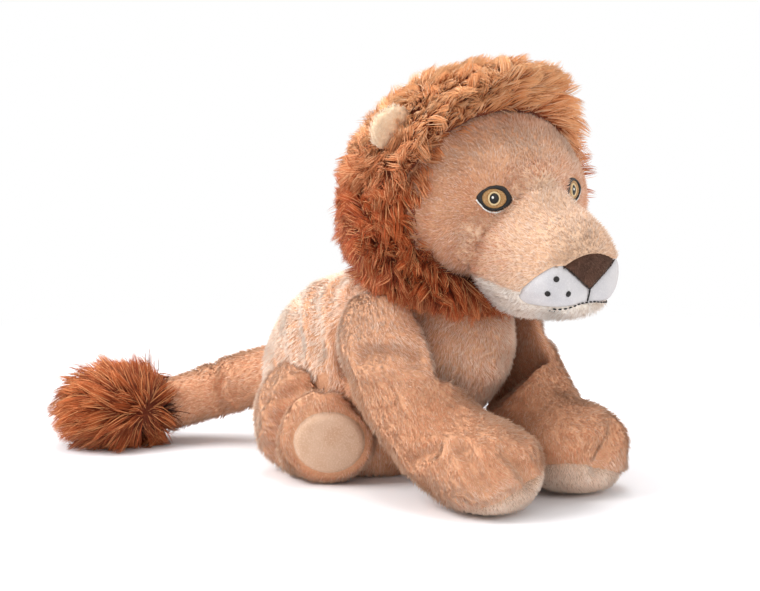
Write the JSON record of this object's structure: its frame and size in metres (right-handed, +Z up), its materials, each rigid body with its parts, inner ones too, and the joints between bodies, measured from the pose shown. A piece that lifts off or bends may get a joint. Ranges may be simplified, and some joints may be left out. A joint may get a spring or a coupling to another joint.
{
  "type": "plush lion",
  "caption": "Sitting stuffed lion with a long-haired mane, tufted tail, embroidered face and soft forelegs stretched out in front.",
  "frame": {"origin": "on the flat underside that the lion sits on, on its mid-plane, 6 mm behind the front of the rump panel", "axes": "+Z up, +Y towards the tail along the lion's length, +X towards the lion's left side"},
  "size_m": [0.1785, 0.3408, 0.2339],
  "materials": {
    "tan_plush": "short tan plush pile",
    "cream_plush": "short cream plush pile",
    "mane_pile": "long russet pile",
    "white_plush": "short white plush pile",
    "sole_velour": "pale velour",
    "ear_velour": "pale cream velour",
    "nose_velour": "dark brown velour",
    "black_thread": "black embroidery thread",
    "amber_thread": "amber embroidery thread",
    "fibrefill": "loose white polyester fibre"
  },
  "bodies": {
    "torso": {"chest_skin": "tan_plush", "rump_skin": "tan_plush", "body_stuffing": "fibrefill"},
    "neck": {"neck_stuffing": "fibrefill"},
    "ear_left": {"ear_left": "ear_velour"},
    "foreleg_left": {"foreleg_left_skin": "tan_plush", "foreleg_left_stuffing": "fibrefill", "forepaw_left_sole": "sole_velour"},
    "hindleg_left": {"hindleg_left_skin": "tan_plush", "hindleg_left_stuffing": "fibrefill", "hindpaw_left_sole": "sole_velour"},
    "ear_right": {"ear_right": "ear_velour"},
    "foreleg_right": {"foreleg_right_skin": "tan_plush", "foreleg_right_stuffing": "fibrefill", "forepaw_right_sole": "sole_velour"},
    "hindleg_right": {"hindleg_right_skin": "tan_plush", "hindleg_right_stuffing": "fibrefill", "hindpaw_right_sole": "sole_velour"},
    "tail": {"tail_skin": "tan_plush", "tail_stuffing": "fibrefill", "tail_tuft": "mane_pile"},
    "head": {"chin": "white_plush", "eye_rim_left": "black_thread", "eye_rim_right": "black_thread", "head_skin": "tan_plush", "head_stuffing": "fibrefill", "iris_left": "amber_thread", "iris_right": "amber_thread", "lip_stitch": "black_thread", "mane": "mane_pile", "mouth_stitch": "black_thread", "muzzle_bridge": "cream_plush", "nose": "nose_velour", "pupil_left": "black_thread", "pupil_right": "black_thread", "whisker_dot_left_1": "black_thread", "whisker_dot_left_2": "black_thread", "whisker_dot_left_3": "black_thread", "whisker_dot_right_1": "black_thread", "whisker_dot_right_2": "black_thread", "whisker_dot_right_3": "black_thread", "whisker_pad_left": "white_plush", "whisker_pad_right": "white_plush"}
  },
  "joints": [
    {"name": "neck_turn", "type": "hinge", "parent": "torso", "child": "neck", "pos_m": [0, -0.04, 0.112], "axis": [0, 0, 1], "range_deg": [-20, 20], "stiffness_Nm_per_rad": 1.2},
    {"name": "head_nod", "type": "hinge", "parent": "neck", "child": "head", "pos_m": [0, -0.04, 0.112], "axis": [1, 0, 0], "range_deg": [-10, 8], "stiffness_Nm_per_rad": 3},
    {"name": "ear_left_flop", "type": "hinge", "parent": "head", "child": "ear_left", "pos_m": [0.058, -0.055, 0.1985], "axis": [0.824, 0.2363, -0.5149], "range_deg": [-12, 12], "stiffness_Nm_per_rad": 0.02},
    {"name": "ear_right_flop", "type": "hinge", "parent": "head", "child": "ear_right", "pos_m": [-0.058, -0.055, 0.1985], "axis": [0.824, -0.2363, 0.5149], "range_deg": [-12, 12], "stiffness_Nm_per_rad": 0.02},
    {"name": "foreleg_left_swing", "type": "hinge", "parent": "torso", "child": "foreleg_left", "pos_m": [0.044, -0.034, 0.082], "axis": [-1, 0, 0], "range_deg": [-2, 20], "stiffness_Nm_per_rad": 0.8},
    {"name": "foreleg_right_swing", "type": "hinge", "parent": "torso", "child": "foreleg_right", "pos_m": [-0.044, -0.034, 0.082], "axis": [-1, 0, 0], "range_deg": [-2, 20], "stiffness_Nm_per_rad": 0.8},
    {"name": "hindleg_left_splay", "type": "hinge", "parent": "torso", "child": "hindleg_left", "pos_m": [0.048, 0.068, 0.035], "axis": [0, 0, 1], "range_deg": [0, 18], "stiffness_Nm_per_rad": 0.5},
    {"name": "hindleg_right_splay", "type": "hinge", "parent": "torso", "child": "hindleg_right", "pos_m": [-0.048, 0.068, 0.035], "axis": [0, 0, -1], "range_deg": [0, 18], "stiffness_Nm_per_rad": 0.5},
    {"name": "tail_swing", "type": "hinge", "parent": "torso", "child": "tail", "pos_m": [0, 0.092, 0.046], "axis": [0, 0, 1], "range_deg": [-20, 20], "stiffness_Nm_per_rad": 0.4}
  ]
}
